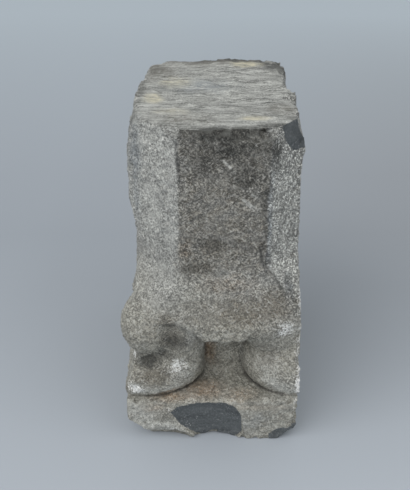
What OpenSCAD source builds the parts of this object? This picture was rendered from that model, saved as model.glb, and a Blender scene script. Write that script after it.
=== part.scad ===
// Column base carved from one block of dark foliated stone: the foot of a half
// octagonal shaft that swells over a cove into a rolled apron, comes down in two
// rounded feet with a small niche between them, and stands on a low plinth.
// Millimetres. The origin is under the middle of the block, the carved front
// faces -y, and every solid is part of the one stone.

/* [Block] */
// Overall width of the stone, over the left foot and the right side
block_w = 248; // [220:1:300]
// Overall depth of the stone, from the plinth's front to its back
block_d = 390; // [330:1:470]
// Overall height of the stone
block_h = 450; // [385:1:540]
// How far the right side leans outwards for each millimetre down
side_lean = 0.03; // [0:0.005:0.05]
// How far the left side lies in from the overall width
left_inset = 23; // [15:1:30]
// How far the right side lies in from the overall width at the top
right_inset = 10.5; // [6:0.5:16]
// Skew of the rough back, in degrees
back_skew = 4; // [0:0.5:6]

/* [Plinth] */
// Height of the plinth
plinth_h = 70; // [56:1:90]
// How far the plinth's left side lies in from the overall width
plinth_inset = 8; // [4:1:14]

/* [Shaft] */
// Sideways place of the middle of the carved front
axis_x = 16; // [0:1:24]
// Width of the front facet
facet_w = 114; // [90:1:130]
// Setback of the front facet behind the plinth's front
setback = 30; // [25:1:40]
// Height above the plinth at which the cove starts
cove_top_h = 204; // [180:1:240]

/* [Apron] */
// How far the apron's roll stands out of the front facet
apron_out = 23; // [15:1:24]
// Height of the apron's lower edge above the plinth
apron_low_h = 93; // [80:1:110]
// Radius that turns the apron's lower edge under
apron_r = 14; // [6:1:20]

/* [Feet] */
// Depth of the niche between the feet, behind the plinth's front
niche_d = 64; // [50:1:80]
// Width of the niche at its mouth
niche_w = 52; // [44:1:60]
// Reach of each foot on the plinth, from its outer middle to the niche
foot_w = 88; // [78:1:96]
// Half depth of each foot on the plinth
foot_d = 74; // [60:1:80]
// Width of the knuckle over the left foot
knuckle_w = 86; // [60:1:100]
// Height of the knuckle over the left foot
knuckle_h = 82; // [60:1:100]

/* [Breaks] */
// Height of the broken lower left corner
corner_h = 36; // [10:1:50]
// Width of the broken lower left corner
corner_w = 42; // [10:1:60]
// Width of the fresh spall in the plinth's front
spall_w = 92; // [40:1:120]
// Depth of the fresh spall at the plinth's foot
spall_d = 9; // [3:0.5:14]
// Size of the broken top corner on the right
top_chip = 34; // [10:1:50]
// Size of the broken top corner at the back left
back_chip = 38; // [10:1:60]

/* [Hidden] */

// Stone colours
stone_grey = [0.52, 0.53, 0.51];

// Faces of the block
front_y = -block_d / 2;
left_x = -block_w / 2;
right_x = block_w / 2;
side_left_x = left_x + left_inset;
side_right_top_x = right_x - right_inset;
facet_y = front_y + setback;
niche_y = front_y + niche_d;

// Heights of the carving
cove_top = plinth_h + cove_top_h;
apron_low = plinth_h + apron_low_h;
apron_crest = apron_low + 1.5 * apron_r;
cove_h = cove_top - apron_crest;
cove_curve = 1.7;

// The chamfers run out into a square block over this height
chamfer = sqrt(0.5);
run_left = 48;
run_left_h = 70;
run_right = 52;
run_right_h = 92;

// The left side swells into a plain band as wide as the plinth
band_out = left_inset - plinth_inset - 1;
band_top = apron_low + 53;
band_low = apron_low + 7;

// The carved front is drawn as rings of points round this upright line
centre = [axis_x, 0];
front_steps = 14;
side_steps = 7;
back_steps = 3;
ring_side_y = front_y + 110;
level_step = 8;
sink = 10;
tuck = 1;
trim = 8;
far = 10000;
cut = 600;

// Lobes of the feet: middle, and half widths
left_foot = [[left_x + 31, front_y + 77, plinth_h + 24], [foot_w, foot_d, 60]];
knuckle = [[left_x + knuckle_w / 2 - 2, front_y + 53, plinth_h + 98], [knuckle_w / 2, 47, knuckle_h / 2]];
right_foot = [[right_x + 4, front_y + 79, plinth_h + 38], [foot_w - 5, foot_d + 1, 64]];
lobes = [knuckle, right_foot];

// Depth, from the upright line, at which the niche is as wide as its mouth
niche_mouth = -front_y - 25;

// Legs behind the lobes, which carry the apron on both sides of the niche
leg_left_c = [left_x + 29, front_y + 79];
leg_left_r = [axis_x - niche_w / 2 + 3 - leg_left_c.x, 55];
leg_right_c = [right_x + 6, front_y + 81];
leg_right_r = [leg_right_c.x - axis_x - niche_w / 2 - 2, 66];
leg_top = apron_low + 16;

// The left foot's outer flank leans in as it rises
flank_x = left_x + 5;
flank_lean = 0.34;
flank_foot = plinth_h + 10;

// Eased step from 0 to 1, flat at both ends
function clamp01(t) = max(0, min(1, t));
function ease(t) = let (c = clamp01(t)) c * c * (3 - 2 * c);

// Outward swell of the front at a height, and its turn under the apron's lower edge
function cove_out(z) = apron_out * pow(clamp01((cove_top - z) / cove_h), cove_curve);
function turn_under(z) =
    let (rise = max(0, min(apron_r, z - apron_low)))
    apron_r - sqrt(apron_r * apron_r - pow(apron_r - rise, 2));

// Half width of the front facet at a height, to the left and right of its middle
function half_left(z) = facet_w / 2 + run_left * ease((cove_top - 16 - z) / run_left_h);
function half_right(z) = facet_w / 2 + run_right * ease((cove_top - z) / run_right_h);

// Left side of the stone at a height, with its plain band
function side_left(z) = side_left_x - band_out * ease((band_top - z) / (band_top - band_low));

// Distance along a ray to a plane, to an ellipse and to a lobe at a height
function to_plane(ray, normal, distance) = normal * ray > 0.001 ? distance / (normal * ray) : far;
function to_ellipse(ray, middle, half, share) =
    let (from = centre - middle,
         a = pow(ray.x / half.x, 2) + pow(ray.y / half.y, 2),
         b = ray.x * from.x / pow(half.x, 2) + ray.y * from.y / pow(half.y, 2),
         c = pow(from.x / half.x, 2) + pow(from.y / half.y, 2) - share * share,
         inside = b * b - a * c)
    inside < 0 ? 0 : (sqrt(inside) - b) / a;
function to_lobe(ray, z, lobe) =
    let (rise = (z - lobe[0].z) / lobe[1].z)
    abs(rise) >= 1 ? 0
    : to_ellipse(ray, [lobe[0].x, lobe[0].y], [lobe[1].x, lobe[1].y], sqrt(1 - rise * rise));

// Distance to a half octagon with its front at y, its chamfers run out and swollen
function to_octagon(ray, z, y, swell, left, right) =
    min(to_plane(ray, [0, -1], swell - y),
        to_plane(ray, [-chamfer, -chamfer], (left + swell - facet_y) * chamfer),
        to_plane(ray, [chamfer, -chamfer], (right + swell - facet_y) * chamfer),
        to_plane(ray, [-1, 0], axis_x - side_left(z)));
function to_apron(ray, z) =
    z < apron_low ? 0
    : to_octagon(ray, z, facet_y, cove_out(z) - turn_under(z), half_left(z), half_right(z));
function to_body(ray, z) = to_octagon(ray, z, niche_y, 0, facet_w / 2, facet_w / 2);

// Distance to the left foot with its flank, and to the legs
function to_left_foot(ray, z) =
    min(to_lobe(ray, z, left_foot),
        to_plane(ray, [-1, 0], axis_x - flank_x - flank_lean * max(0, z - flank_foot)));
function to_legs(ray, z) =
    z > leg_top ? 0
    : max(min(to_ellipse(ray, leg_left_c, leg_left_r, 1),
              to_plane(ray, [-1, 0], axis_x - side_left(z))),
          to_ellipse(ray, leg_right_c, leg_right_r, 1));

// Distance to the feet; the niche between them lies open between two rays
function in_niche(ray) = abs(ray.x) * niche_mouth < -ray.y * niche_w / 2;
function to_feet(ray, z) =
    in_niche(ray) ? 0
    : max(concat([to_left_foot(ray, z), to_legs(ray, z)],
                 [for (lobe = lobes) to_lobe(ray, z, lobe)]));

// Distance to the stone's outline; near the plinth it tucks in behind the plinth's side
function reach(ray, z) =
    min(max(to_body(ray, z), to_apron(ray, z), to_feet(ray, z)),
        to_plane(ray, [-1, 0], axis_x - left_x - (z > plinth_h ? 0 : plinth_inset + tuck)),
        to_plane(ray, [1, 0], right_x + trim - axis_x));

// Points that the rays aim at, in order from the left side round the front to the right
// side; three of the rays pass through the corners of the half octagon
facet_left = axis_x - facet_w / 2;
aim_left = axis_x - facet_w / 2 * front_y / facet_y;
aim_right = axis_x + facet_w / 2 * front_y / facet_y;
corner_y = facet_y + facet_left - side_left_x;
aim_corner_y = corner_y * (left_x - axis_x) / (side_left_x - axis_x);
function steps(from, to, count) = [for (i = [0 : count - 1]) from + (to - from) * i / count];
aims = concat(
    steps([left_x, ring_side_y], [left_x, aim_corner_y], back_steps),
    steps([left_x, aim_corner_y], [left_x, front_y], side_steps),
    steps([left_x, front_y], [aim_left, front_y], front_steps),
    steps([aim_left, front_y], [aim_right, front_y], front_steps),
    steps([aim_right, front_y], [right_x, front_y], front_steps),
    steps([right_x, front_y], [right_x, ring_side_y], side_steps),
    [[right_x, ring_side_y]]);
rays = [for (aim = aims) (aim - centre) / norm(aim - centre)];
level_count = ceil((cove_top - plinth_h) / level_step);
levels = concat(
    [plinth_h - sink],
    [for (i = [0 : level_count]) plinth_h + (cove_top - plinth_h) * i / level_count],
    [block_h + sink]);

// One ring: the carved outline, closed round the back of the stone
function ring(z) =
    let (height = max(z, plinth_h), back = block_d / 2 + trim)
    concat([for (ray = rays) let (p = centre + ray * reach(ray, height)) [p.x, p.y, z]],
           [[right_x + trim, back, z], [side_left(height), back, z]]);

// Solid with the given rings as its courses, closed by fans round the centre line
module courses(rings) {
    count = len(rings[0]);
    last = len(rings) - 1;
    low_end = (last + 1) * count;
    high_end = low_end + 1;
    ends = [[centre.x, centre.y, rings[0][0].z], [centre.x, centre.y, rings[last][0].z]];
    points = concat([for (course = rings) each course], ends);
    faces = concat(
        [for (i = [0 : count - 1]) [low_end, i, (i + 1) % count]],
        [for (i = [0 : count - 1]) [high_end, last * count + (i + 1) % count, last * count + i]],
        [for (k = [0 : last - 1], i = [0 : count - 1])
            let (j = (i + 1) % count, low = k * count, high = low + count)
            each [[low + i, high + i, high + j], [low + i, high + j, low + j]]]);
    polyhedron(points = points, faces = faces, convexity = 6);
}

// Shaft, cove, apron, knuckle and feet in one rising outline
module carving() {
    courses([for (z = levels) ring(z)]);
}

// Low plinth, its full width to the right
module plinth() {
    translate([left_x + plinth_inset, front_y, 0])
        cube([block_w - plinth_inset + trim * 2, block_d + trim * 2, plinth_h]);
}

// Everything above the top
module top_waste() {
    translate([-cut, -cut, block_h])
        cube([cut * 2, cut * 2, cut]);
}

// Everything past the right side, which leans out down to the overall width
module right_waste() {
    translate([side_right_top_x, -cut, block_h])
        rotate([0, -atan(side_lean), 0])
            translate([0, 0, -cut * 1.5])
                cube([cut, cut * 2, cut * 2]);
    translate([right_x, -cut, -cut])
        cube([cut, cut * 2, cut * 2]);
}

// Everything past the skewed back
module back_waste() {
    translate([right_x, block_d / 2, -sink])
        rotate([0, 0, back_skew])
            translate([-cut, 0, 0])
                cube([cut * 2, cut, block_h + sink * 2]);
}

// Corner broken away by a slanting face that meets its three edges at these lengths
module corner_waste(corner, lengths) {
    slope = [1 / lengths.x, 1 / lengths.y, 1 / lengths.z];
    depth = 1 / norm(slope);
    translate(corner)
        rotate([0, acos(slope.z * depth), atan2(slope.y, slope.x)])
            translate([-cut / 2, -cut / 2, depth - cut])
                cube([cut, cut, cut]);
}

// Fresh spall in the plinth's front, deepest at its foot
module spall_waste() {
    spall_x = axis_x - 22;
    spall_h = plinth_h * 0.94;
    translate([spall_x, front_y, spall_h])
        rotate([-atan(spall_d / spall_h), 0, 0])
            translate([-spall_w / 2, -cut, -spall_h * 1.5])
                cube([spall_w, cut, spall_h * 1.5]);
}

// The whole stone
module column_base() {
    color(stone_grey)
        difference() {
            union() {
                plinth();
                carving();
            }
            top_waste();
            right_waste();
            back_waste();
            spall_waste();
            corner_waste([left_x + plinth_inset, front_y, 0], [corner_w, 60, corner_h]);
            corner_waste([side_right_top_x, facet_y + 20, block_h], [-top_chip, top_chip, -top_chip]);
            corner_waste([side_left_x, block_d / 2 - 16, block_h], [back_chip, -back_chip * 1.4, -back_chip]);
        }
}

column_base();
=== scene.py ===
"""A column base carved from one block of dark foliated stone.

A half-octagon shaft flares through a cove into a rolled apron, over a pair of rounded feet,
a small arched niche and a low chipped plinth. The form is worked out in millimetres in the
part's own frame, front towards -y, and its mesh is made in metres.
"""
from math import radians

import bmesh
import bpy
import numpy as np
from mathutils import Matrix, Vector


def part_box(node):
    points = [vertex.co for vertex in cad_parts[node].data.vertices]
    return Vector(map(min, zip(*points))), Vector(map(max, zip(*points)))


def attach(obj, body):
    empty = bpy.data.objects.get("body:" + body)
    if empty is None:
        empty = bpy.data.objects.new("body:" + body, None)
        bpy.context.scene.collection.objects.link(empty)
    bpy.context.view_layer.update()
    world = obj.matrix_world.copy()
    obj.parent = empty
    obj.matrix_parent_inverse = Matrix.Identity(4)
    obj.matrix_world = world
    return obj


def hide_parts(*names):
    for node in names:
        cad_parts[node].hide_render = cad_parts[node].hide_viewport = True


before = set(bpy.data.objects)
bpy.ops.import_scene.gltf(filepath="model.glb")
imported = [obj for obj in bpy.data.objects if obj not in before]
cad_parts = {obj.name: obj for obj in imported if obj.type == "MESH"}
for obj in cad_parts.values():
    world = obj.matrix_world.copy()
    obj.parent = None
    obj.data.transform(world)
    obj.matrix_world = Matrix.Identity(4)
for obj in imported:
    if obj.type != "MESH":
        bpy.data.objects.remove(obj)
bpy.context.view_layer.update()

NODE = "column_base"
MM = 1000.0

# ---------------------------------------------------------------- the block and its main lines
low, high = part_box(NODE)
LEFT, FRONT = low[0] * MM, low[1] * MM
RIGHT, BACK, TOP = high[0] * MM, high[1] * MM, high[2] * MM

AXIS = LEFT + 140            # middle line of the half octagon
FACE = FRONT + 30            # the shaft's front facet
FACET_HALF = 57              # half the front facet's width
PLINTH_H = 70
COVE_TOP = 274               # where the shaft starts to flare
COVE_H = 90
APRON_OUT = 23
APRON_LOW = 164              # the apron's lower edge over the niche
GROOVE_X = -8                # left of this the apron's lower edge climbs to the knuckle
NICHE_DEEP = 64
MITRE = 0.5 ** 0.5

# ---------------------------------------------------------------- mesh fineness
CELL = 1.8                   # grid step at the carved front
CELL_BACK = 4.0              # grid step along the block's depth, behind the carving
CARVED_DEEP = 105            # how far back the fine step goes
MARGIN = 7                   # empty room round the block
SHELL = 7                    # how near the surface its unevenness is worked out
TRIANGLES = 192000           # the finished mesh has about this many

# ---------------------------------------------------------------- random swell
TABLE = 32                   # random values along each side of the table that repeats
PAST_ZERO = 1000.37          # keeps every place on the positive side of that table


def ease(t):
    """Smooth step from 0 to 1."""
    t = np.clip(t, 0, 1)
    return t * t * (3 - 2 * t)


def join(a, b, soft):
    """What is in either shape, with a fillet of that size."""
    h = np.clip(0.5 + 0.5 * (b - a) / soft, 0, 1)
    return b + (a - b) * h - soft * h * (1 - h)


def keep(a, b, soft):
    """What is in both shapes, with a rounded edge of that size."""
    return -join(-a, -b, soft)


def lobe(x, y, z, centre, radii):
    """Distance to a rounded lump."""
    dx, dy, dz = (x - centre[0]), (y - centre[1]), (z - centre[2])
    rx, ry, rz = radii
    near = np.sqrt((dx / rx) ** 2 + (dy / ry) ** 2 + (dz / rz) ** 2)
    slope = np.sqrt((dx / rx ** 2) ** 2 + (dy / ry ** 2) ** 2 + (dz / rz ** 2) ** 2) + 1e-6
    return near * (near - 1) / slope


def drum(x, y, centre, radii):
    """Distance to an upright oval drum."""
    dx, dy = (x - centre[0]), (y - centre[1])
    rx, ry = radii
    near = np.sqrt((dx / rx) ** 2 + (dy / ry) ** 2)
    slope = np.sqrt((dx / rx ** 2) ** 2 + (dy / ry ** 2) ** 2) + 1e-6
    return near * (near - 1) / slope


# ---------------------------------------------------------------- the carved form
def right_side(y, z):
    """The right side leans out a little on its way down, with a low swell and a thicker flake
    under the top."""
    swell = 4.5 * np.exp(-((z - 410) / 20) ** 2)
    flake = 4 * ease((z - 385) / 30) * (ease((12 - y) / 7) - ease((-2 - y) / 50))
    back_corner = 3 * ease((y - 105) / 30) * ease((z - 385) / 30)
    return np.minimum(RIGHT - 10.5 + 0.03 * (TOP - z) + swell + flake + back_corner, RIGHT - 0.8)


def left_side(z):
    """The left side swells at the top, pulls in above the feet and swells again beside them."""
    top_swell = 8 * ease((z - 296) / 42) * ease((TOP + 2 - z) / 60)
    foot_swell = 13 * ease((216 - z) / 46)
    return LEFT + 23 - top_swell - foot_swell


def facets(x, y, z):
    """How far a point stands in front of the front, left and right facets, and of the cove and
    apron below them."""
    across = x - AXIS
    flare = APRON_OUT * np.clip((COVE_TOP - z) / COVE_H, 0, 1) ** 1.7
    front = FACE - y - flare
    run_left = FACET_HALF + 48 * ease((258 - z) / 70)
    run_right = FACET_HALF + 24 * ease((276 - z) / 48) + 22 * ease((236 - z) / 60)
    return front, (front - across - run_left) * MITRE, (front + across - run_right) * MITRE


def shaft(x, y, z):
    """Half octagon, cove and apron in one. Below the cove the slanting facets run out to square
    corners."""
    front, slant_left, slant_right = facets(x, y, z)
    soft_left = 3 + 16 * ease((270 - z) / 50)
    soft_right = 3 + 2 * ease((270 - z) / 50)
    body = keep(keep(front, slant_left, soft_left), slant_right, soft_right)
    body = keep(body, x - right_side(y, z), 3)
    body = keep(body, left_side(z) - x, 6)
    sag = APRON_LOW - 2.5 * np.cos(np.clip((x - AXIS) / 26, -np.pi, np.pi))
    rise = 0.5 * np.clip(GROOVE_X - x, 0, 38) + 0.42 * np.clip(x - 46, 0, 60)
    lip = 5 + 9 * ease((np.abs(x - 18) - 24) / 16) + 12 * ease((x - 44) / 20)
    return keep(body, sag + rise - z, lip)


def core(x, y, z):
    """The plain stone behind the niche."""
    body = keep(FRONT + NICHE_DEEP - y, x - right_side(y, z), 3)
    body = keep(body, LEFT + 20 - x, 6)
    return keep(body, z - 214, 1)


def feet(x, y, z):
    """The two legs behind, the long left toe with its inner toe, and the broad right foot."""
    left_leg = keep(drum(x, y, (-95, -116), (87, 55)), LEFT + 18 - x, 8)
    right_leg = drum(x, y, (130, -110), (80, 56))
    legs = join(keep(left_leg, z - 190, 1), keep(right_leg, z - 205, 1), 1)
    toe = lobe(x, y, z, (-93, -118, 92), (88, 75, 48))
    toe = keep(toe, LEFT + 5 + 0.34 * np.clip(z - 80, 0, 90) - x, 12)
    inner_toe = lobe(x, y, z, (-40, -142, 114), (32, 39, 40))
    left_web = lobe(x, y, z, (-34, -148, 160), (31, 33, 40))
    right_foot = lobe(x, y, z, (126, -116, 100), (84, 78, 62))
    right_web = lobe(x, y, z, (88, -150, 166), (44, 33, 40))
    toes = join(join(join(legs, toe, 6), inner_toe, 10), left_web, 14)
    return join(join(toes, right_foot, 8), right_web, 14)


def knuckle(x, y, z):
    """The round lump where the left slanting facet ends."""
    return lobe(x, y, z, (-86, -143, 168), (38, 46, 41))


def plinth(x, y, z):
    """The low slab under the feet, cut off a little short of the right side."""
    body = keep(keep(FRONT - y, x - (RIGHT - 2), 3), LEFT + 8 - x, 4)
    return keep(body, z - PLINTH_H, 3)


def block(x, y, z):
    """The whole carved form, before its breaks."""
    body = join(shaft(x, y, z), feet(x, y, z), 9 + 24 * ease((x - 40) / 24))
    body = join(body, knuckle(x, y, z), 9)
    body = keep(body, x - right_side(y, z), 2)
    floor_of_niche = join(core(x, y, z), plinth(x, y, z), 14)
    body = join(body, floor_of_niche, 2.5 + 16 * ease((y + 112) / 30) * ease((-60 - x) / 20))
    body = keep(body, y - (BACK - 5 + 0.08 * x), 2)
    body = keep(body, z - TOP, 1.5)
    return keep(body, -z, 1)


# ---------------------------------------------------------------- breaks and chips
SPALL = (
    (-63, 41), (-47, 58), (-14, 66.5), (21, 66), (36, 57),
    (44, 43), (46, 10), (33, -4), (-26, -4), (-42, 24),
)
CORNER_CHIP = ((83, 456), (126, 456), (126, 411), (101, 413), (90, 430))
CRACK = ((-44, -163.5, 433), (-39.5, -166, 398))


def outline(corners, x, z):
    """Distance inside (negative) or outside a convex outline drawn on the front, its corners
    given clockwise."""
    inside = -1e3
    for (x0, z0), (x1, z1) in zip(corners, corners[1:] + corners[:1]):
        run, rise = x1 - x0, z1 - z0
        inside = np.maximum(inside, ((z - z0) * run - (x - x0) * rise) / np.hypot(run, rise))
    return inside


def spall(x, y, z):
    """The broad flake gone from the plinth's front, deeper towards the ground."""
    edge = outline(SPALL, x, z)
    deep = 1.4 + 3.2 * ease(-edge / 14) + 4.0 * ease((46 - z) / 46)
    return keep(edge, y - (FRONT + deep), 0.6)


def part_of(axes, centre, reach):
    """The stretch of each grid line that lies within reach of a point."""
    return tuple(
        slice(*np.searchsorted(line, (middle - reach, middle + reach)))
        for line, middle in zip(axes, centre)
    )


def scoop(field, axes, centre, facing, reach, deep, soft=1.0):
    """Takes a dished chip out of the block, and all that stands outside it: reach across, and
    deep into the face that looks along facing."""
    part = part_of(axes, centre, max(reach, deep) + 3)
    x, y, z = np.meshgrid(*(line[s] for line, s in zip(axes, part)), indexing="ij", copy=False)
    if x.size == 0:
        return
    facing = np.array(facing, float) / np.linalg.norm(facing)
    dx, dy, dz = x - centre[0], y - centre[1], z - centre[2]
    along = dx * facing[0] + dy * facing[1] + dz * facing[2]
    aside = dx * dx + dy * dy + dz * dz - along * along
    along = np.minimum(along, 0)
    near = np.sqrt(aside / reach ** 2 + (along / deep) ** 2 + 1e-6)
    slope = np.sqrt(aside / reach ** 4 + along ** 2 / deep ** 4 + 1e-6 / reach ** 2)
    chip = near * (near - 1) / slope
    field[part] = keep(field[part], -chip, soft)


def slit(field, axes, start, end, half_width):
    """Cuts a narrow crack along a line."""
    start, end = np.array(start, float), np.array(end, float)
    middle, run = (start + end) / 2, end - start
    part = part_of(axes, middle, np.linalg.norm(run) / 2 + half_width + 3)
    x, y, z = np.meshgrid(*(line[s] for line, s in zip(axes, part)), indexing="ij", copy=False)
    dx, dy, dz = x - start[0], y - start[1], z - start[2]
    t = np.clip((dx * run[0] + dy * run[1] + dz * run[2]) / (run @ run), 0, 1)
    gap = np.sqrt((dx - t * run[0]) ** 2 + (dy - t * run[1]) ** 2 + (dz - t * run[2]) ** 2)
    field[part] = keep(field[part], half_width - gap, 0.6)


def seated(field, axes, at, facing):
    """Moves a point along a direction until it lies on the stone's surface."""
    for _ in range(5):
        near = tuple(min(np.searchsorted(line, c), len(line) - 1) for line, c in zip(axes, at))
        at = at - facing * field[near]
    return at


def chip_edge(field, axes, rng, start, end, facing, count, reach, deep, soft=0.7):
    """Small chips scattered along one edge."""
    start, end = np.array(start, float), np.array(end, float)
    facing = np.array(facing, float) / np.linalg.norm(facing)
    for _ in range(count):
        at = seated(field, axes, start + (end - start) * rng.random(), facing) + rng.normal(0, 0.7, 3)
        lean = facing + rng.normal(0, 0.25, 3)
        size = reach * (0.35 + 0.65 * rng.random() ** 2)
        scoop(field, axes, at, lean, size, deep * (0.4 + 0.6 * rng.random()) * size / reach, soft)


def large_breaks(field, axes):
    """The breaks that change the outline."""
    # front corner of the top, right: a fresh dark flake
    scoop(field, axes, (109, -131, 449), (0.75, -0.62, 0.25), 34, 10)
    scoop(field, axes, (96, -147, 444), (0.6, -0.75, 0.2), 22, 6)
    scoop(field, axes, (66, -164, 454), (0.35, -0.7, 0.65), 34, 10)
    # stepped right rim of the top
    scoop(field, axes, (115, 52, 452), (1, 0, 0.2), 52, 6, 0.6)
    scoop(field, axes, (116, 20, 452), (1, 0, 0.2), 14, 6, 0.6)
    scoop(field, axes, (116, -58, 452), (1, 0, 0.2), 20, 6, 0.6)
    scoop(field, axes, (115, -100, 447), (1, -0.2, 0.2), 28, 6, 0.6)
    # notch in the left rim, and the rounded front corner beside it
    scoop(field, axes, (-109, -72, 446), (-1, 0, 0.2), 18, 13, 0.8)
    scoop(field, axes, (-96, -118, 455), (-0.5, -0.5, 0.7), 24, 8)
    # back corners of the top
    scoop(field, axes, (-108, 186, 455), (-0.8, 0.6, 0.15), 84, 34, 2)
    scoop(field, axes, (118, 196, 455), (0.7, 0.7, 0.3), 24, 12, 1)
    # lower corners of the plinth
    scoop(field, axes, (-118, -198, 2), (-0.62, -0.3, -0.72), 62, 29, 2)
    scoop(field, axes, (-74, -199, 6), (0, -0.8, -0.6), 48, 12, 1.5)
    scoop(field, axes, (118, -197, 0), (0.6, -0.35, -0.72), 34, 15, 1.5)
    # hollows under the front edge
    scoop(field, axes, (-54, -196, -1), (0, -0.5, -1), 22, 6)
    scoop(field, axes, (8, -192, -1), (0, -0.5, -1), 26, 7)


def worn_edges():
    """The chipped edges, each with its start, end, facing, number of chips, and their reach and depth."""
    face = FACE - 1
    return (
        # rims of the top: front, left slant, left, right, back
        ((-40, face, TOP), (72, face, TOP), (0, -0.7, 0.7), 26, 11, 3.8),
        ((-41, face, TOP), (-99, -106, TOP), (-0.5, -0.5, 0.7), 18, 9, 3.4),
        ((-101, -100, TOP), (-98, 150, TOP), (-0.7, 0, 0.7), 34, 11, 4),
        ((113, -100, TOP), (113, 180, TOP), (0.7, 0, 0.7), 34, 11, 4),
        ((-70, 186, TOP), (110, 194, TOP), (0, 0.7, 0.7), 9, 7, 2),
        # the plinth's upper, lower and right front edges
        ((LEFT + 8, FRONT, PLINTH_H), (RIGHT - 4, FRONT, PLINTH_H), (0, -0.7, 0.7), 30, 7, 2.2),
        ((-70, FRONT, 0), (110, FRONT, 0), (0, -0.7, -0.7), 22, 10, 4),
        ((RIGHT - 2, FRONT + 2, 10), (RIGHT - 2, FRONT + 2, 66), (0.7, -0.7, 0), 14, 8, 3),
        # the right side's front edge, beside the foot and up the shaft
        ((RIGHT - 2, -178, 72), (RIGHT - 6, -168, 250), (0.7, -0.7, 0), 40, 9, 2.4),
        ((RIGHT - 6, -140, 250), (RIGHT - 10, -126, 440), (0.7, -0.7, 0), 26, 8, 1.6),
        # the left side's front edge, and the two arrises of the front facet
        ((-101, -104, 240), (-106, -104, 440), (-0.7, -0.7, 0), 30, 8, 3),
        ((-41, -165, 262), (-41, -165, 440), (-0.4, -0.9, 0), 16, 5, 1.6),
        ((73, -165, 262), (73, -165, 440), (0.4, -0.9, 0), 18, 6, 2),
    )


def small_breaks(field, axes):
    """Chips on the feet, the crack in the left arris and the worn rims."""
    rng = np.random.default_rng(7)
    scoop(field, axes, (-44, -183, 119), (0.1, -1, 0.3), 12, 4)
    scoop(field, axes, (-104, -194, 91), (-0.4, -1, -0.1), 10, 4)
    scoop(field, axes, (100, -191, 184), (0.2, -1, 0.2), 12, 4)
    scoop(field, axes, (-108, -166, 131), (-1, -0.6, 0.1), 10, 4)
    slit(field, axes, CRACK[0], CRACK[1], 2.4)
    slit(field, axes, (-40, -166.3, 395), (-38.5, -166.6, 386), 1.8)
    # a bruise on the right arris
    scoop(field, axes, (62, -167.5, 356), (0.3, -1, 0), 16, 5)
    scoop(field, axes, (66, -167, 345), (0.5, -1, 0.2), 8, 4)
    for edge in worn_edges():
        chip_edge(field, axes, rng, *edge)
    for x_side, lean in ((LEFT + 14, -1), (RIGHT - 4, 1)):
        ends = (x_side, BACK, 10), (x_side, BACK, 430)
        chip_edge(field, axes, rng, *ends, (0.7 * lean, 0.7, 0), 12, 24, 2.4, 2.5)


# ---------------------------------------------------------------- unevenness of the hand-dressed faces
def cloud(x, y, z, size, seed):
    """Soft random swell between -1 and 1, with bumps about as wide as size."""
    table = np.random.default_rng(seed).uniform(-1, 1, (TABLE, TABLE, TABLE)).astype(np.float32)
    total = 0
    cells, parts = [], []
    for line in (x, y, z):
        place = line / size + PAST_ZERO
        whole = np.floor(place).astype(np.int32)
        cells.append(whole)
        parts.append(ease(place - whole))
    for i in (0, 1):
        for j in (0, 1):
            for k in (0, 1):
                weight = (parts[0] if i else 1 - parts[0]) * (parts[1] if j else 1 - parts[1])
                weight = weight * (parts[2] if k else 1 - parts[2])
                corner = tuple((cell + step) % TABLE for cell, step in zip(cells, (i, j, k)))
                total = total + weight * table[corner]
    return total


def layers(x, y, z):
    """Which of the stone's thin beds shows at each place of the split back, as whole steps with
    soft risers."""
    bed = 2.4 * cloud(x, 0.2 * y, 0.8 * z, 84, 6) + 0.5 * cloud(x, 0.2 * y, z, 15, 7)
    return np.floor(bed) + ease((bed - np.floor(bed) - 0.42) / 0.16)


def unevenness(x, y, z):
    """How far the surface stands back from the true form: little on the carved front, more on the rough
    sides, which are ridged along their upright beds, and in thin steps over the split back."""
    behind = ease((y + 100) / 40)
    rough = 0.45 + 1.1 * behind
    bumps = 1.2 * cloud(x, y, z, 46, 1) + 0.7 * cloud(x, y, z, 19, 2) + 0.35 * cloud(x, y, z, 8, 3)
    swell = rough * (bumps + 0.4)
    ridges = 1.1 * behind * cloud(x, y, 0.22 * z, 9, 4)
    split_back = 1.9 * (1 + layers(x, y, z)) * ease((y - BACK + 45) / 20) * ease((TOP - 4 - z) / 50)
    return np.clip(swell + ridges + split_back, -4, 6) * ease(z / 5)


def grid_lines():
    """Grid lines along x, y and z, fine at the carved front and coarser behind it."""
    x = np.arange(LEFT - MARGIN, RIGHT + MARGIN, CELL)
    fine = np.arange(FRONT - MARGIN, FRONT + CARVED_DEEP, CELL)
    coarse = np.arange(fine[-1] + CELL_BACK, BACK + MARGIN + CELL_BACK, CELL_BACK)
    z = np.arange(-MARGIN, TOP + MARGIN, CELL)
    return tuple(line.astype(np.float32) for line in (x, np.concatenate((fine, coarse)), z))


def carve():
    """The distance field of the finished stone on its grid."""
    axes = grid_lines()
    x, y, z = axes[0][:, None, None], axes[1][None, :, None], axes[2][None, None, :]
    field = block(x, y, z).astype(np.float32)
    large_breaks(field, axes)
    near_front = axes[1] < FRONT + 20
    part = (slice(None), near_front, slice(None))
    field[part] = keep(field[part], -spall(x, y[:, near_front], z), 0.8)
    small_breaks(field, axes)
    shell = np.nonzero(np.abs(field) < SHELL)
    places = [line[index] for line, index in zip(axes, shell)]
    field[shell] += unevenness(*places)
    fill_pinches(field)
    return field, axes


def fill_pinches(field):
    """Fills each grid square where stone meets stone only at its corners, so that the mesh stays clean."""
    for _ in range(4):
        for axis in range(3):
            turned = np.moveaxis(field, axis, 2)
            a, b, c, d = turned[:-1, :-1], turned[1:, :-1], turned[:-1, 1:], turned[1:, 1:]
            pinched = ((a < 0) == (d < 0)) & ((b < 0) == (c < 0)) & ((a < 0) != (b < 0))
            for corner in (a, b, c, d):
                corner[pinched] = np.minimum(corner[pinched], -0.05)


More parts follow.
